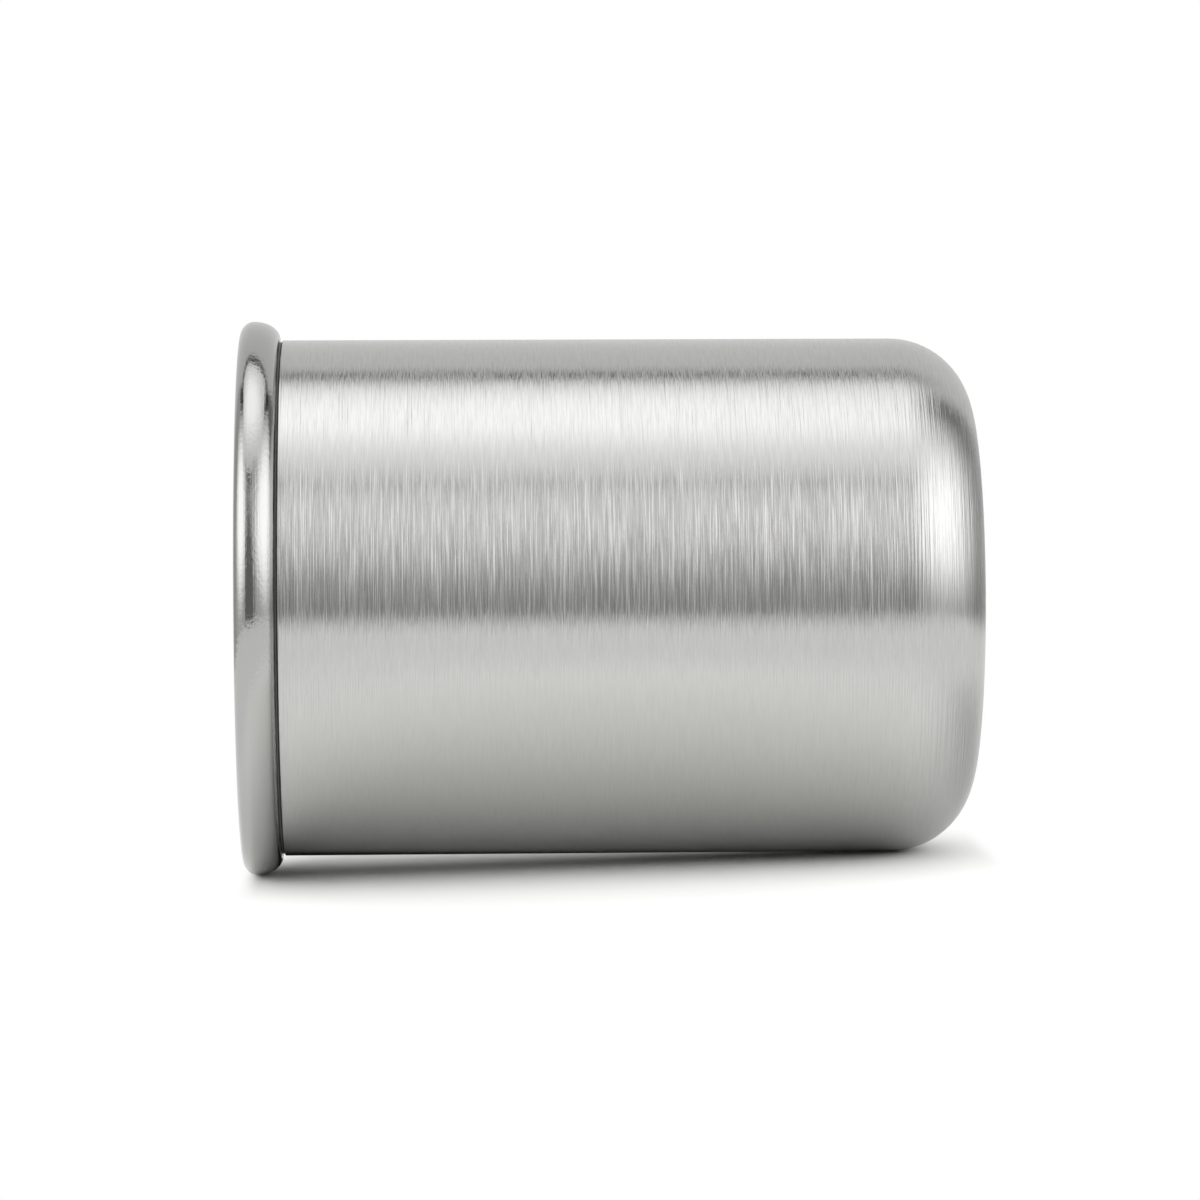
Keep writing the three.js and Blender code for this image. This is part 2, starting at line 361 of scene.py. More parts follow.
def add_node(tree, kind, inputs=None, output=None, **settings):
    """Adds a node with its settings, sets or links inputs by name or place, and returns one output.

    That is the output with this name, or else the first one that the settings leave in use.
    """
    node = tree.nodes.new("ShaderNode" + kind)
    for name, value in settings.items():
        setattr(node, name, value)
    used = [socket for socket in node.inputs if socket.enabled]
    sockets = dict(enumerate(used)) | {socket.name: socket for socket in used}
    for key, value in (inputs or {}).items():
        if isinstance(value, bpy.types.NodeSocket):
            tree.links.new(value, sockets[key])
        else:
            sockets[key].default_value = value
    found = [socket for socket in node.outputs if socket.enabled and output in (None, socket.name)]
    return found[0] if found else None


def new_material(name):
    """An empty node material, with its tree."""
    material = bpy.data.materials.new(name)
    material.use_nodes = True
    material.node_tree.nodes.clear()
    return material, material.node_tree


def show(material, shader):
    """Links a shader to a material's output, and returns the material."""
    add_node(material.node_tree, "OutputMaterial", {"Surface": shader})
    return material


def tone(colour, share):
    """A colour, lighter or darker by a share, with full alpha."""
    return [min(1, c * share) for c in colour] + [1]


def mottled(tree, pattern, colour, dark, light):
    """A colour that a 0 to 1 pattern takes from a dark tone to a light one."""
    tones = {"Factor": pattern, "A": tone(colour, dark), "B": tone(colour, light)}
    return add_node(tree, "Mix", tones, data_type="RGBA")


def turned_place(tree):
    """Object X and Y with the way along the section as Z, so that spots can be drawn out round the cup."""
    place = add_node(tree, "TexCoord", output="Object")
    flat = {axis: add_node(tree, "SeparateXYZ", {"Vector": place}, output=axis) for axis in ("X", "Y")}
    along = add_node(tree, "Attribute", output="Fac", attribute_name=ALONG)
    return add_node(tree, "CombineXYZ", flat | {"Z": along})


def spots(tree, size, place=None, detail=2.0, roughness=0.5):
    """A 0 to 1 pattern of random spots, which have this size in metres along X, Y and Z of a place."""
    if place is None:
        place = add_node(tree, "TexCoord", output="Object")
    scaled = add_node(tree, "Mapping", {"Vector": place, "Scale": [1 / s for s in size]})
    inputs = {"Vector": scaled, "Scale": 1.0, "Detail": detail, "Roughness": roughness}
    return add_node(tree, "TexNoise", inputs)


def brushed_round(tree, stretch):
    """Inputs that stretch a highlight across scratches that run round the axis."""
    quarter_turn = 0.25
    tangent = add_node(tree, "Tangent", direction_type="RADIAL", axis="Z")
    return {"Anisotropic": stretch, "Anisotropic Rotation": quarter_turn, "Tangent": tangent}


def painted_seam_shade(tree, top, width):
    """Painted shade in the seam's groove: 1 in its two corners, less between them, and 0 elsewhere."""
    between = 0.6
    corner = 0.4 * width
    place = add_node(tree, "TexCoord", output="Object")
    height = add_node(tree, "SeparateXYZ", {"Vector": place}, output="Z")
    offset = add_node(tree, "Math", {0: height, 1: top - width / 2}, operation="SUBTRACT")
    away = add_node(tree, "Math", {0: offset}, operation="ABSOLUTE")
    packed = add_node(tree, "MapRange", {"Value": away, "From Max": corner, "To Min": between})
    inside = add_node(tree, "Math", {0: away, 1: width / 2}, operation="LESS_THAN")
    return add_node(tree, "Math", {0: packed, 1: inside}, operation="MULTIPLY")


def brushed_steel(colour, seam_shade, seam_top, seam_width):
    """Stainless steel sheet, brushed round the body with a belt.

    The eye sees fine scratches round the cup. They stretch every reflection along its length and keep it
    narrow round it, and they glitter where a dark and a bright reflection lie side by side. The groove under
    the roll has painted shade: a near black, matte colour in place of its shadow.
    """
    material, tree = new_material("stainless steel, belt brushed")
    place = turned_place(tree)
    # Real scratches are about 0.05 mm wide. They are drawn 5 times as wide, so that they show.
    scratches = spots(tree, (18 * MM, 18 * MM, 0.26 * MM), place)
    grain = spots(tree, (3 * MM, 3 * MM, 0.25 * MM), place)
    bands = spots(tree, (30 * MM, 30 * MM, 3 * MM), place, detail=3.0)
    clouds = spots(tree, (14 * MM,) * 3, place)
    # painted shade in the groove under the roll: near black, matte and not metallic
    seam_shade_mask = painted_seam_shade(tree, seam_top, seam_width)
    tint = mottled(tree, grain, colour, 0.9, 1.08)
    stains = add_node(tree, "MapRange", {"Value": clouds, "To Max": 0.12})
    bare = add_node(tree, "Mix", {"Factor": stains, "A": tint, "B": tone(colour, 0.85)}, data_type="RGBA")
    base = add_node(tree, "Mix", {"Factor": seam_shade_mask, "A": bare, "B": tone(seam_shade, 1.0)}, data_type="RGBA")
    polish = add_node(tree, "MapRange", {"Value": bands, "To Min": 0.2, "To Max": 0.24})
    return show(material, add_node(tree, "BsdfPrincipled", {
        "Base Color": base,
        "Metallic": add_node(tree, "MapRange", {"Value": seam_shade_mask, "To Min": 1.0, "To Max": 0.0}),
        "Roughness": add_node(tree, "MapRange", {"Value": seam_shade_mask, "To Min": polish, "To Max": 0.8}),
        **brushed_round(tree, 1.0),
        "Normal": add_node(tree, "Bump", {"Height": scratches, "Distance": 0.115 * MM}),
    }))


def polished_steel(colour, inside_colour, roll_start):
    """Stainless steel sheet, drawn, rolled over and polished.

    The eye sees a near mirror on the roll. Fine polishing lines run round it, and its slight waviness breaks
    the edges of a narrow reflection. The inside was only blasted, so it is paler and softer.
    """
    material, tree = new_material("stainless steel, satin polished")
    full_polish = roll_start + 2 * MM
    place = turned_place(tree)
    lines = spots(tree, (12 * MM, 12 * MM, 0.22 * MM), place)
    waves = spots(tree, (0.6 * MM, 0.6 * MM, 0.4 * MM), place)
    clouds = spots(tree, (9 * MM, 9 * MM, 3 * MM), place, detail=3.0)
    along = add_node(tree, "Attribute", output="Fac", attribute_name=ALONG)
    inputs = {"Value": along, "From Min": roll_start, "From Max": full_polish}
    roll = add_node(tree, "MapRange", inputs, **SOFT_STEP)
    blasted = mottled(tree, clouds, inside_colour, 0.94, 1.06)
    bright = mottled(tree, lines, colour, 0.97, 1.03)
    dull = add_node(tree, "MapRange", {"Value": clouds, "To Min": 0.36, "To Max": 0.46})
    glossy = add_node(tree, "MapRange", {"Value": clouds, "To Min": 0.1, "To Max": 0.15})
    wavy = add_node(tree, "Bump", {"Height": waves, "Distance": 0.022 * MM})
    return show(material, add_node(tree, "BsdfPrincipled", {
        "Base Color": add_node(tree, "Mix", {"Factor": roll, "A": blasted, "B": bright}, data_type="RGBA"),
        "Metallic": 1.0,
        "Roughness": add_node(tree, "MapRange", {"Value": roll, "To Min": dull, "To Max": glossy}),
        **brushed_round(tree, 0.6),
        "Normal": add_node(tree, "Bump", {"Height": lines, "Distance": 0.02 * MM, "Normal": wavy}),
    }))


def faced_steel(colour):
    """Stainless steel disc, faced on a lathe: fine circles that turn the highlight into two fans."""
    material, tree = new_material("stainless steel, faced on a lathe")
    place = turned_place(tree)
    # Real tool marks are about 0.1 mm apart. They are drawn 3 times as far apart, so that they show.
    circles = spots(tree, (40 * MM, 40 * MM, 0.3 * MM), place)
    bands = spots(tree, (60 * MM, 60 * MM, 2.5 * MM), place)
    return show(material, add_node(tree, "BsdfPrincipled", {
        "Base Color": mottled(tree, circles, colour, 0.94, 1.04),
        "Metallic": 1.0,
        "Roughness": add_node(tree, "MapRange", {"Value": bands, "To Min": 0.24, "To Max": 0.34}),
        **brushed_round(tree, 0.8),
        "Normal": add_node(tree, "Bump", {"Height": circles, "Distance": 0.008 * MM}),
    }))


def braze_filler(colour):
    """Nickel filler, melted in a furnace: dull grey metal with soft lumps and darker flux stains."""
    material, tree = new_material("nickel braze, as melted")
    lumps = spots(tree, (1.2 * MM,) * 3, detail=3.0)
    stains = spots(tree, (4 * MM,) * 3, detail=3.0)
    return show(material, add_node(tree, "BsdfPrincipled", {
        "Base Color": mottled(tree, stains, colour, 0.7, 1.15),
        "Metallic": 1.0,
        "Roughness": add_node(tree, "MapRange", {"Value": stains, "To Min": 0.55, "To Max": 0.38}),
        "Normal": add_node(tree, "Bump", {"Height": lumps, "Distance": 0.08 * MM}),
    }))


def copper_foil(colour):
    """Copper foil, rolled bright and wrapped by hand: glossy, with fine creases and a few duller patches."""
    material, tree = new_material("copper foil, rolled bright")
    crease_spacing = 4 * MM
    place = add_node(tree, "TexCoord", output="Object")
    patches = spots(tree, (12 * MM,) * 3, place, detail=3.0)
    inputs = {"Vector": place, "Scale": 1 / crease_spacing}
    creases = add_node(tree, "TexVoronoi", inputs, feature="DISTANCE_TO_EDGE")
    return show(material, add_node(tree, "BsdfPrincipled", {
        "Base Color": mottled(tree, patches, colour, 0.82, 1.08),
        "Metallic": 1.0,
        "Roughness": add_node(tree, "MapRange", {"Value": patches, "To Min": 0.3, "To Max": 0.18}),
        "Normal": add_node(tree, "Bump", {"Height": creases, "Distance": 0.15 * MM}),
    }))


def spring_strip(colour):
    """Spring steel, cold rolled to strip: grey metal with faint rolling lines along the strip."""
    material, tree = new_material("spring steel, cold rolled")
    rolling = spots(tree, (0.12 * MM, 6 * MM, 0.12 * MM))
    return show(material, add_node(tree, "BsdfPrincipled", {
        "Base Color": mottled(tree, rolling, colour, 0.9, 1.06),
        "Metallic": 1.0,
        "Roughness": add_node(tree, "MapRange", {"Value": rolling, "To Min": 0.3, "To Max": 0.42}),
        "Normal": add_node(tree, "Bump", {"Height": rolling, "Distance": 0.004 * MM}),
    }))


def pressed_powder(colour):
    """Getter alloy powder, pressed and sintered: matte dark grey grains with a few bright ones."""
    material, tree = new_material("getter alloy, sintered powder")
    grains = spots(tree, (0.18 * MM,) * 3, detail=3.0, roughness=0.7)
    return show(material, add_node(tree, "BsdfPrincipled", {
        "Base Color": mottled(tree, grains, colour, 0.55, 1.5),
        "Metallic": 0.5,
        "Roughness": add_node(tree, "MapRange", {"Value": grains, "To Min": 0.9, "To Max": 0.7}),
        "Normal": add_node(tree, "Bump", {"Height": grains, "Distance": 0.05 * MM}),
    }))


def solder_glass(colour):
    """Solder glass, melted in place: glossy, dark and opaque, with small pale bubbles under its surface."""
    material, tree = new_material("solder glass, fused")
    bubbles = spots(tree, (0.35 * MM,) * 3)
    waves = spots(tree, (1.5 * MM,) * 3, detail=1.0)
    return show(material, add_node(tree, "BsdfPrincipled", {
        "Base Color": mottled(tree, bubbles, colour, 0.7, 1.5),
        "Roughness": add_node(tree, "MapRange", {"Value": bubbles, "To Min": 0.06, "To Max": 0.12}),
        "IOR": 1.7,
        "Normal": add_node(tree, "Bump", {"Height": waves, "Distance": 0.03 * MM}),
    }))


# The cup's pieces

def base_radius(sizes):
    """Outside of the shell just above the base corner, as if the wall ran straight down to the foot."""
    return sizes.shell_radius - sizes.wall_draft


def seam_height(sizes):
    """Height of the roll's free edge."""
    return sizes.lip_top - sizes.crown_rise - sizes.tuck_drop


class TUMBLER_OT_shell(bpy.types.Operator):
    """Brushed cup: a drawn sheet with a rounded base corner, a flat foot and a recess with a dimple"""

    bl_idname = "tumbler.shell"
    bl_label = "Brushed shell"

    def execute(self, context):
        sizes = context.scene.tumbler_sizes
        foot_outside = base_radius(sizes) - sizes.base_corner
        foot_inside = foot_outside - sizes.foot_width
        dimple_ceiling = sizes.recess_ceiling + sizes.dimple_depth
        seam = seam_height(sizes)
        plain = bent(
            (sizes.hole_radius, dimple_ceiling),
            (sizes.dimple_radius - sizes.dimple_slope, dimple_ceiling, sizes.press_bend),
            (sizes.dimple_radius, sizes.recess_ceiling, sizes.press_bend),
            (foot_inside - sizes.recess_slope, sizes.recess_ceiling, sizes.press_bend),
            (foot_inside, 0, sizes.press_bend),
            (base_radius(sizes), 0, sizes.base_corner),
            (sizes.shell_radius, seam - sizes.seam_width),
        )
        groove = sizes.shell_radius - sizes.seam_depth
        grooved = bent(
            plain[-2],
            (*plain[-1], sizes.seam_shoulder),
            (groove, seam - sizes.seam_width + sizes.seam_bend, sizes.seam_bend),
            (groove, sizes.shell_top),
        )
        inside = with_rings([*plain, Vector((sizes.shell_radius, sizes.shell_top))])
        section = with_rings(plain[:-2] + grooved) + set_back(inside, sizes.shell_wall)[::-1]
        piece = spin_piece("brushed_shell", section + section[:1])
        round_cut_edges(piece)
        colours = context.scene.tumbler_colours
        material = brushed_steel(colours.shell, colours.seam_shade, seam, sizes.seam_width)
        finish_piece(piece, "outer_shell", material)
        return {"FINISHED"}


class TUMBLER_OT_liner(bpy.types.Operator):
    """Polished cup inside the shell, whose lip rolls out over the shell's edge and back under"""

    bl_idname = "tumbler.liner"
    bl_label = "Polished liner"

    def execute(self, context):
        sizes = context.scene.tumbler_sizes
        floor = sizes.liner_floor + sizes.liner_wall
        mouth = sizes.lip_top - sizes.mouth_drop
        widest = sizes.lip_top - sizes.crown_rise
        crown = sizes.shell_radius + sizes.crown_offset
        tuck = sizes.shell_radius + sizes.tuck_gap
        quarter = math.pi / 2
        face = bent(
            (0, floor),
            (sizes.mouth_radius - sizes.wall_draft, floor, sizes.liner_corner - sizes.liner_wall),
            (sizes.mouth_radius, mouth),
        )
        roll_start = sum((after - here).length for here, after in zip(face, face[1:]))
        face += arc((crown, mouth), crown - sizes.mouth_radius, sizes.mouth_drop, 2 * quarter, quarter)[1:]
        face += arc((crown, widest), sizes.lip_radius - crown, sizes.crown_rise, quarter, 0)[1:]
        face += arc((tuck, widest), sizes.lip_radius - tuck, sizes.tuck_drop, 0, -quarter)[1:]
        piece = spin_piece("polished_liner", sheet_section(face, -sizes.liner_wall))
        round_cut_edges(piece)
        colours = context.scene.tumbler_colours
        material = polished_steel(colours.liner, colours.liner_inside, roll_start)
        finish_piece(piece, "inner_liner", material)
        return {"FINISHED"}


class TUMBLER_OT_braze_ring(bpy.types.Operator):
    """Ring of filler that closes the vacuum space under the roll, with hollow ends where it drew in"""

    bl_idname = "tumbler.braze_ring"
    bl_label = "Braze ring"

    def execute(self, context):
        sizes = context.scene.tumbler_sizes
        bottom = low("rim_braze_ring")
        top = high("rim_braze_ring")
        half = (reach("rim_braze_ring") - sizes.braze_inside) / 2
        middle = sizes.braze_inside + half
        section = arc((middle, bottom), half, sizes.braze_meniscus, math.pi, 0)
        section += arc((middle, top), half, -sizes.braze_meniscus, 0, math.pi)
        piece = spin_piece("braze_ring", section + section[:1])
        material = braze_filler(context.scene.tumbler_colours.braze)
        finish_piece(piece, "rim_braze_ring", material)
        return {"FINISHED"}


class TUMBLER_OT_foil(bpy.types.Operator):
    """Crinkled copper band round the liner"""

    bl_idname = "tumbler.foil"
    bl_label = "Copper foil"

    def execute(self, context):
        sizes = context.scene.tumbler_sizes
        bottom = low("insulation_foil")
        top = high("insulation_foil")
        outside = reach("insulation_foil")
        taper = sizes.wall_draft * (top - bottom) / (sizes.lip_top - sizes.mouth_drop - sizes.liner_floor)
        line = with_rings([Vector((outside - taper, bottom)), Vector((outside, top))])
        piece = spin_piece("copper_foil_band", line)
        bpy.ops.object.mode_set(mode="EDIT")
        bpy.ops.mesh.select_all(action="SELECT")
        bpy.ops.mesh.subdivide(number_cuts=1)
        bpy.ops.object.mode_set(mode="OBJECT")
        crinkle = bpy.data.textures.new("foil crinkle", "CLOUDS")
        crinkle.noise_scale = sizes.crinkle_size
        apply_modifier(piece, "DISPLACE", texture=crinkle, strength=sizes.foil_crinkle, mid_level=1.0)
        apply_modifier(piece, "SOLIDIFY", thickness=sizes.foil_thickness, offset=-1.0)
        material = copper_foil(context.scene.tumbler_colours.foil)
        finish_piece(piece, "insulation_foil", material)
        return {"FINISHED"}


class TUMBLER_OT_clip(bpy.types.Operator):
    """Folded strip under the liner's floor: a channel with two ledges that carry the getter pellet"""

    bl_idname = "tumbler.clip"
    bl_label = "Getter clip"

    def execute(self, context):
        sizes = context.scene.tumbler_sizes
        corner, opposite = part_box("getter_clip")
        outside = opposite.x
        ledge = outside - sizes.clip_wall - sizes.clip_turn_in
        outline = bent(
            (-ledge, corner.z),
            (-outside, corner.z, sizes.clip_bend),
            (-outside, opposite.z, sizes.clip_bend),
            (outside, opposite.z, sizes.clip_bend),
            (outside, corner.z, sizes.clip_bend),
            (ledge, corner.z),
        )
        section = outline + set_back(outline, -sizes.clip_wall)[::-1]
        piece = start_piece("getter_clip_strip")
        draw(section + section[:1], corner.y)
        bpy.ops.mesh.select_all(action="SELECT")
        bpy.ops.mesh.remove_doubles(threshold=WELD)
        bpy.ops.mesh.edge_face_add()
        along_strip = {"value": (0, opposite.y - corner.y, 0)}
        bpy.ops.mesh.extrude_region_move(TRANSFORM_OT_translate=along_strip)
        bpy.ops.mesh.select_all(action="SELECT")
        bpy.ops.mesh.normals_make_consistent(inside=False)
        bpy.ops.object.mode_set(mode="OBJECT")
        round_cut_edges(piece, CUT_EDGE_ROUND / 2)
        material = spring_strip(context.scene.tumbler_colours.clip)
        finish_piece(piece, "getter_clip", material)
        return {"FINISHED"}


class TUMBLER_OT_pellet(bpy.types.Operator):
    """Pressed pellet that takes up stray gas, with rounded edges and a shallow dish"""

    bl_idname = "tumbler.pellet"
    bl_label = "Getter pellet"

    def execute(self, context):
        sizes = context.scene.tumbler_sizes
        bottom = low("getter_pellet")
        top = high("getter_pellet")
        radius = reach("getter_pellet")
        dish_start = radius / 2
        dish_bend = radius
        section = bent(
            (0, bottom),
            (radius, bottom, sizes.pellet_edge),
            (radius, top, sizes.pellet_edge),
            (dish_start, top, dish_bend),
            (0, top - sizes.pellet_dish),
        )
        piece = spin_piece("sintered_pellet", section)
        material = pressed_powder(context.scene.tumbler_colours.pellet)
        finish_piece(piece, "getter_pellet", material)
        return {"FINISHED"}


class TUMBLER_OT_seal(bpy.types.Operator):
    """Bead of glass that fills the dimple and closes the evacuation hole"""

    bl_idname = "tumbler.seal"
    bl_label = "Glass seal"

    def execute(self, context):
        sizes = context.scene.tumbler_sizes
        bottom = low("vacuum_seal")
        shoulder = bottom + sizes.seal_head
        head = reach("vacuum_seal")
        flare = sizes.seal_stem / 3
        section = arc((0, shoulder), head, sizes.seal_head, -math.pi / 2, 0)
        section += bent(
            (head, shoulder),
            (sizes.seal_stem, shoulder, flare),
            (sizes.seal_stem, high("vacuum_seal"), flare),
            (0, high("vacuum_seal")),
        )[1:]
        piece = spin_piece("glass_seal", section)
        material = solder_glass(context.scene.tumbler_colours.seal)
        finish_piece(piece, "vacuum_seal", material)
        return {"FINISHED"}


class TUMBLER_OT_disc(bpy.types.Operator):
    """Disc in the recess under the base, over the seal"""

    bl_idname = "tumbler.disc"
    bl_label = "Base disc"

    def execute(self, context):
        sizes = context.scene.tumbler_sizes
        radius = reach("base_disc")
        section = bent(
            (0, low("base_disc")),
            (radius, low("base_disc"), sizes.disc_edge),
            (radius, high("base_disc"), sizes.disc_edge),
            (0, high("base_disc")),
        )
        piece = spin_piece("faced_base_disc", with_rings(section))
        material = faced_steel(context.scene.tumbler_colours.disc)
        finish_piece(piece, "base_disc", material)
        return {"FINISHED"}


# The studio: its axes are right, back and up, as the camera sees them

def floor_lean(sizes):
    """Lean of the floor along the cup, which rests on its lip and on the edge of its base corner."""
    widest = sizes.lip_top - sizes.crown_rise
    return math.atan2(sizes.lip_radius - base_radius(sizes), widest - sizes.base_corner)


def studio_axes(sizes, studio):
    """Matrix that takes right, back and up in the studio to the part's frame, from the middle of the cup."""
    lean = floor_lean(sizes)
    up = Matrix.Rotation(-studio.floor_turn, 3, "Z") @ Vector((math.cos(lean), 0, math.sin(lean)))
    right = Vector((0, 1, 0)).cross(up).normalized()
    axes = Matrix((right, up.cross(right), up)).transposed().to_4x4()
    return Matrix.Translation((0, 0, studio.aim_height)) @ axes


def add_card(name, axes, material, turn, rise, away, size):
    """Adds a card that faces the cup from some distance.

    It stands so many degrees right of the camera and up from the floor, and its size is a width and a height.
    """
    bpy.ops.object.select_all(action="DESELECT")
    bpy.ops.mesh.primitive_plane_add(size=1)
    card = bpy.context.object
    card.name = name
    bpy.ops.object.mode_set(mode="EDIT")
    bpy.ops.transform.resize(value=(*size, 1))
    bpy.ops.object.mode_set(mode="OBJECT")
    sideways = Matrix.Rotation(math.radians(turn), 4, "Z")
    upwards = Matrix.Rotation(math.radians(-90 - rise), 4, "X")
    card.matrix_world = axes @ sideways @ upwards @ Matrix.Translation((0, 0, -away))
    card.data.materials.append(material)
    card.visible_camera = False
    return card


def glow(name, brightness):
    """Even light from a card."""
    material, tree = new_material(name)
    return show(material, add_node(tree, "Emission", {"Strength": brightness}))


def softbox_glow(name, edge, added, size):
    """Light from a softbox, whose lamp shows as a brighter middle."""
    material, tree = new_material(name)
    place = add_node(tree, "TexCoord", output="Object")
    scaled = add_node(tree, "Mapping", {"Vector": place, "Scale": (2 / size[0], 2 / size[1], 1)})
    away = add_node(tree, "VectorMath", {0: scaled}, operation="LENGTH")
    inputs = {"Value": away, "From Min": LAMP_SHARE, "To Min": edge + added, "To Max": edge}
    bright = add_node(tree, "MapRange", inputs, **SOFT_STEP)
    return show(material, add_node(tree, "Emission", {"Strength": bright}))


def seen_directly(tree):
    """1 for what the camera, a mirror or glass shows, and 0 for light that is scattered."""
    seen = 0.0
    for ray in ("Is Camera Ray", "Is Glossy Ray", "Is Transmission Ray"):
        flag = add_node(tree, "LightPath", output=ray)
        seen = add_node(tree, "Math", {0: seen, 1: flag}, operation="MAXIMUM")
    return seen


def first_mirrored(tree):
    """1 for what the steel's first reflection shows, and 0 for everything else."""
    depth = add_node(tree, "LightPath", output="Ray Depth")
    glossy = add_node(tree, "LightPath", output="Is Glossy Ray")
    inputs = {"Value": depth, "From Min": 1.0, "From Max": 2.0, "To Min": glossy, "To Max": 0.0}
    return add_node(tree, "MapRange", inputs)


def along_cup(tree, place, sizes, studio):
    """How far right of the cup's middle the table's points lie, and a soft step to 1 past its ends."""
    half = sizes.lip_top / 2
    right = add_node(tree, "SeparateXYZ", {"Vector": place}, output="X")
    offset = add_node(tree, "Math", {0: right, 1: studio.aim_height - half}, operation="SUBTRACT")
    beside = add_node(tree, "Math", {0: offset}, operation="ABSOLUTE")
    inputs = {"Value": beside, "From Min": half - END_INSIDE, "From Max": half + END_OUTSIDE}
    return offset, add_node(tree, "MapRange", inputs, **SOFT_STEP)


def white_share(tree, place, past_end):
    """1 where the table is pure white: far from the shadow, and for the camera past the cup's ends too."""
    middle = (0, -SHADOW_FORWARD, 0)
    away = add_node(tree, "VectorMath", {0: place, 1: middle}, operation="DISTANCE")
    inputs = {"Value": away, "From Min": SHADOW_REACH, "From Max": WHITE_START}
    far = add_node(tree, "MapRange", inputs, **SOFT_STEP)
    run_out = add_node(tree, "Math", {0: far, 1: seen_directly(tree)}, operation="MULTIPLY")
    camera = add_node(tree, "LightPath", output="Is Camera Ray")
    in_view = add_node(tree, "Math", {0: past_end, 1: camera}, operation="MULTIPLY")
    return add_node(tree, "Math", {0: run_out, 1: in_view}, operation="MAXIMUM")


def out_of_shade(tree, place, mirrored, studio):
    """0 in the soft shade past the base, which only the steel shows, and 1 elsewhere."""
    middle = (studio.aim_height + SHADE_PAST, SHADE_BACK, 0)
    away = add_node(tree, "VectorMath", {0: place, 1: middle}, operation="DISTANCE")
    inputs = {"Value": away, "From Min": SHADE_CORE, "From Max": SHADE_REACH}
    outside = add_node(tree, "MapRange", inputs, **SOFT_STEP)
    return add_node(tree, "MapRange", {"Value": mirrored, "To Min": 1.0, "To Max": outside})


def under_cup(tree, place, offset, past_end, sizes):
    """Painted shadow: 1 in the gap behind the line where the wall comes down to the table, and 0 elsewhere.
    """
    back = add_node(tree, "SeparateXYZ", {"Vector": place}, output="Y")
    inputs = {"Value": back, "From Min": -GAP_FRONT, "From Max": GAP_BACK}
    behind = add_node(tree, "MapRange", inputs, **SOFT_STEP)
    end = sizes.lip_top / 2 - sizes.base_corner
    inputs = {"Value": offset, "From Min": end - GAP_FADE, "From Max": end + GAP_FADE}
    past_wall = add_node(tree, "MapRange", inputs, **SOFT_STEP)
    bare = add_node(tree, "Math", {0: past_end, 1: past_wall}, operation="MAXIMUM")
    return add_node(tree, "MapRange", {"Value": bare, "To Min": behind, "To Max": 0.0})


def white_floor(colour, sizes, studio):
    """Matte white table, which takes the cup's shadow, turns pure white round it, and is clear from below.

    In the steel it has painted shade: a soft shade past the base, and a dark shadow in the gap under the cup.
    """
    material, tree = new_material("matte white table")
    place = add_node(tree, "TexCoord", output="Object")
    offset, past_end = along_cup(tree, place, sizes, studio)
    mirrored = first_mirrored(tree)
    lit = out_of_shade(tree, place, mirrored, studio)
    under = under_cup(tree, place, offset, past_end, sizes)
    # painted shadow in the gap under the cup, for the steel's first reflection only
    gap = add_node(tree, "Math", {0: under, 1: mirrored}, operation="MULTIPLY")
    paper = mottled(tree, spots(tree, (2 * MM,) * 3, place, detail=3.0), colour, 0.99, 1.01)
    inputs = {"Factor": lit, "A": tone(colour, studio.shade), "B": paper}
    open_table = add_node(tree, "Mix", inputs, data_type="RGBA")
    inputs = {"Factor": gap, "A": open_table, "B": tone(colour, studio.gap)}
    matte = add_node(tree, "BsdfDiffuse", {"Color": add_node(tree, "Mix", inputs, data_type="RGBA")})
    brightness = add_node(tree, "MapRange", {"Value": lit, "To Min": studio.shade})
    white = add_node(tree, "Emission", {"Strength": brightness})
    above = add_node(tree, "MixShader", {0: white_share(tree, place, past_end), 1: matte, 2: white})
    from_below = add_node(tree, "NewGeometry", output="Backfacing")
    clear = add_node(tree, "BsdfTransparent")
    return show(material, add_node(tree, "MixShader", {0: from_below, 1: above, 2: clear}))


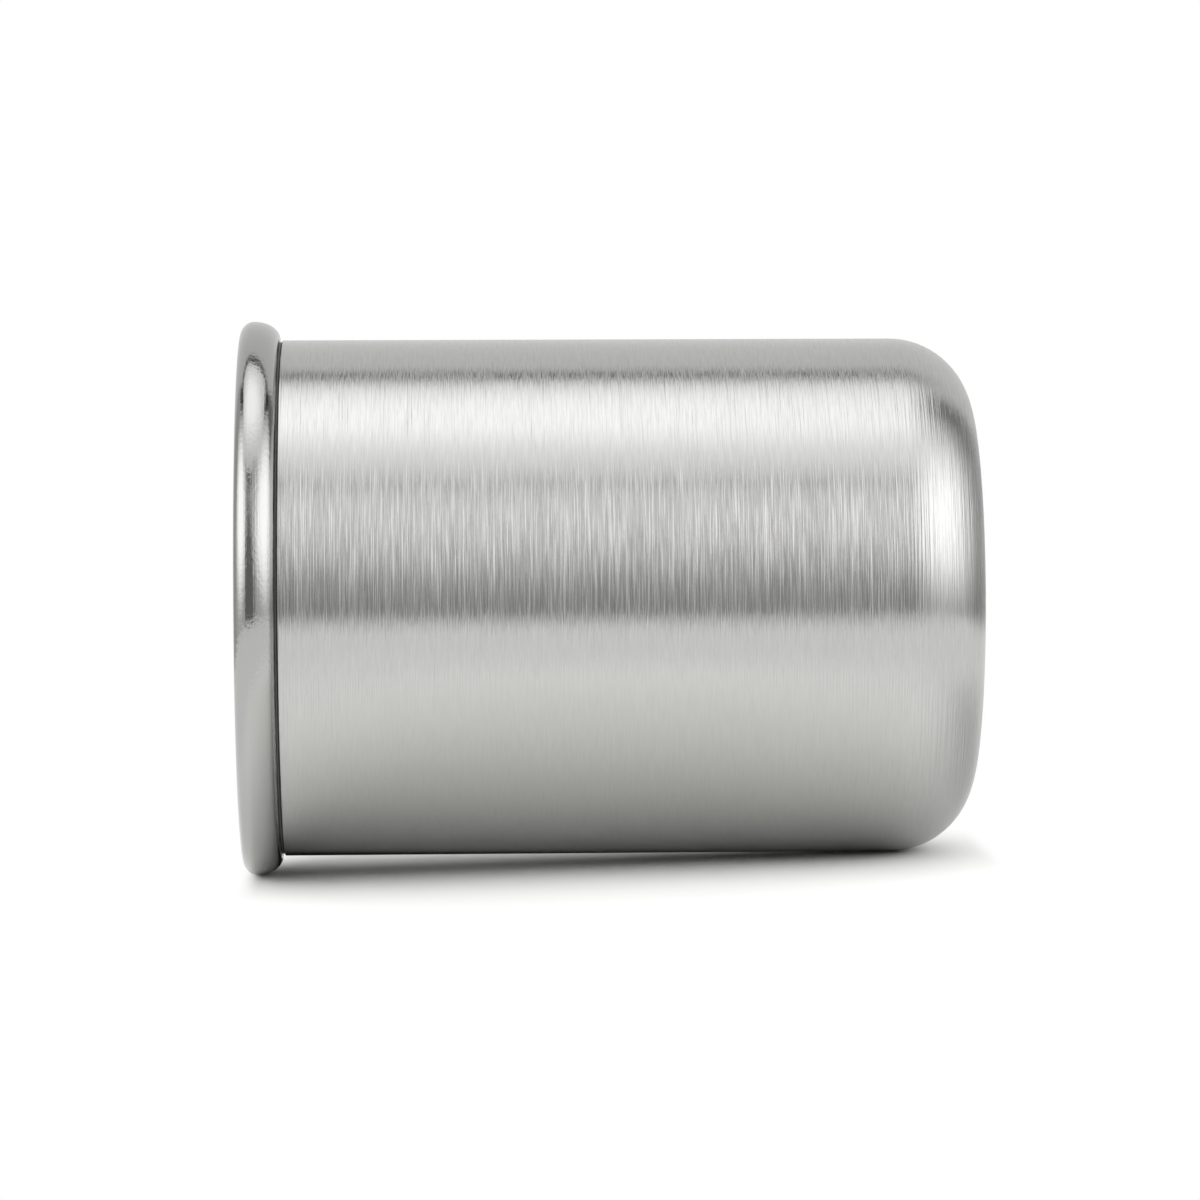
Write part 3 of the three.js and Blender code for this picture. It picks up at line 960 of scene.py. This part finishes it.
class TUMBLER_OT_stage(bpy.types.Operator):
    """White table, soft light and the camera, with the cup lying on its side"""

    bl_idname = "tumbler.stage"
    bl_label = "Studio"

    def execute(self, context):
        sizes = context.scene.tumbler_sizes
        studio = context.scene.tumbler_studio
        axes = studio_axes(sizes, studio)
        self.add_floor(context, sizes, studio, axes)
        self.add_light(studio, axes)
        self.add_surroundings(context, studio, axes)
        self.add_camera(context, studio)
        return {"FINISHED"}

    def add_floor(self, context, sizes, studio, axes):
        """Floor that the lip and the base corner touch."""
        lean = floor_lean(sizes)
        widest = sizes.lip_top - sizes.crown_rise
        touch = sizes.lip_radius * math.cos(lean) - widest * math.sin(lean)
        drop = touch + studio.aim_height * math.sin(lean) + FLOOR_GAP
        bpy.ops.object.select_all(action="DESELECT")
        bpy.ops.mesh.primitive_circle_add(vertices=RING_STEPS, radius=studio.floor_radius, fill_type="NGON")
        floor = context.object
        floor.name = "white_table"
        floor.matrix_world = axes @ Matrix.Translation((0, 0, -drop))
        floor.data.materials.append(white_floor(context.scene.tumbler_colours.floor, sizes, studio))

    def add_light(self, studio, axes):
        """Softboxes above and at both sides, and walls and dark flags that only the steel shows."""
        above_size = (0.8, 0.605)
        above = softbox_glow("softbox above", studio.overhead, studio.overhead_centre, above_size)
        add_card("softbox_above", axes, above, turn=0, rise=88.5, away=0.62, size=above_size)
        beside_size = (1.9, 1.34)
        beside = softbox_glow("softbox at the side", studio.sides, studio.sides_centre, beside_size)
        add_card("softbox_left", axes, beside, turn=-61, rise=29, away=0.9, size=beside_size)
        add_card("softbox_right", axes, beside, turn=64, rise=27, away=0.9, size=beside_size)
        wall = glow("pale wall", studio.wall)
        room = glow("dark room", studio.front)
        low_front = glow("low front of the room", studio.low_front)
        left_flag = glow("dark flag at the left", studio.flag_left)
        right_flag = glow("dark flag at the right", studio.flag_right)
        ceiling = glow("dark ceiling", studio.ceiling)
        flag_size = (1.45, 2.08)
        only_reflected = (
            add_card("wall_behind", axes, wall, turn=0, rise=150, away=0.75, size=(1.3, 0.866)),
            add_card("dark_room", axes, room, turn=0, rise=21, away=1.3, size=(0.9, 1.8)),
            add_card("low_front", axes, low_front, turn=0, rise=4, away=1.6, size=(7, 1.2)),
            add_card("flag_left", axes, left_flag, turn=-118, rise=29, away=1.2, size=flag_size),
            add_card("flag_right", axes, right_flag, turn=118, rise=29, away=1.2, size=flag_size),
            add_card("dark_ceiling", axes, ceiling, turn=0, rise=112, away=0.9, size=(3.4, 0.5)),
        )
        for card in only_reflected:
            card.visible_diffuse = False
            card.visible_shadow = False

    def add_surroundings(self, context, studio, axes):
        """World that is white to the eye and in mirrors, and elsewhere a fill from above and behind."""
        world = bpy.data.worlds.new("white studio")
        world.use_nodes = True
        tree = world.node_tree
        tree.nodes.clear()
        way = add_node(tree, "TexCoord", output="Generated")
        source = (axes.col[2] + FILL_BACK * axes.col[1]).xyz.normalized()
        rise = add_node(tree, "VectorMath", {0: way, 1: source}, operation="DOT_PRODUCT")
        inputs = {"Value": rise, "From Max": FILL_SPREAD, "To Max": studio.fill}
        fill = add_node(tree, "MapRange", inputs)
        bright = add_node(tree, "MapRange", {"Value": seen_directly(tree), "To Min": fill})
        white = add_node(tree, "Background", {"Color": (1, 1, 1, 1), "Strength": bright})
        add_node(tree, "OutputWorld", {"Surface": white})
        context.scene.world = world
        context.scene.view_settings.view_transform = "Standard"

    def add_camera(self, context, studio):
        """Camera in front of the cup, with the cup's lip to its left."""
        place = Vector((0, -studio.camera_back, studio.camera_height))
        aim = Vector((-studio.aim_below, 0, studio.aim_height))
        forward = (aim - place).normalized()
        up = forward.cross(Vector((0, 0, 1))).normalized()
        up = Matrix.Rotation(studio.camera_roll, 3, forward) @ up
        right = forward.cross(up)
        turn = Matrix((right, up, -forward)).transposed()
        bpy.ops.object.camera_add(location=place, rotation=turn.to_euler())
        camera = context.object
        camera.name = "camera"
        camera.data.lens = studio.lens
        camera.data.sensor_width = SENSOR_WIDTH
        context.scene.camera = camera


class TUMBLER_PT_build(bpy.types.Panel):
    """Sidebar panel that lists the pieces and their settings"""

    bl_idname = "TUMBLER_PT_build"
    bl_label = "Steel tumbler"
    bl_space_type = "VIEW_3D"
    bl_region_type = "UI"
    bl_category = "Tumbler"

    def draw(self, context):
        for operator in OPERATORS:
            self.layout.operator(operator.bl_idname)
        scene = context.scene
        for group in (scene.tumbler_sizes, scene.tumbler_colours, scene.tumbler_studio):
            column = self.layout.column(align=True)
            for name in group.__annotations__:
                column.prop(group, name)


OPERATORS = (
    TUMBLER_OT_shell,
    TUMBLER_OT_liner,
    TUMBLER_OT_braze_ring,
    TUMBLER_OT_foil,
    TUMBLER_OT_clip,
    TUMBLER_OT_pellet,
    TUMBLER_OT_seal,
    TUMBLER_OT_disc,
    TUMBLER_OT_stage,
)
CLASSES = (TumblerSizes, TumblerColours, TumblerStudio, *OPERATORS, TUMBLER_PT_build)


def register():
    """Registers the classes and puts the settings on the scene."""
    for cls in CLASSES:
        bpy.utils.register_class(cls)
    bpy.types.Scene.tumbler_sizes = bpy.props.PointerProperty(type=TumblerSizes)
    bpy.types.Scene.tumbler_colours = bpy.props.PointerProperty(type=TumblerColours)
    bpy.types.Scene.tumbler_studio = bpy.props.PointerProperty(type=TumblerStudio)


def unregister():
    """Takes the settings and the classes away again."""
    del bpy.types.Scene.tumbler_studio
    del bpy.types.Scene.tumbler_colours
    del bpy.types.Scene.tumbler_sizes
    for cls in reversed(CLASSES):
        bpy.utils.unregister_class(cls)


def main():
    """Builds every piece and the studio."""
    register()
    bpy.ops.tumbler.stage()
    bpy.ops.tumbler.shell()
    bpy.ops.tumbler.liner()
    bpy.ops.tumbler.braze_ring()
    bpy.ops.tumbler.foil()
    bpy.ops.tumbler.clip()
    bpy.ops.tumbler.pellet()
    bpy.ops.tumbler.seal()
    bpy.ops.tumbler.disc()


if __name__ == "__main__":
    main()
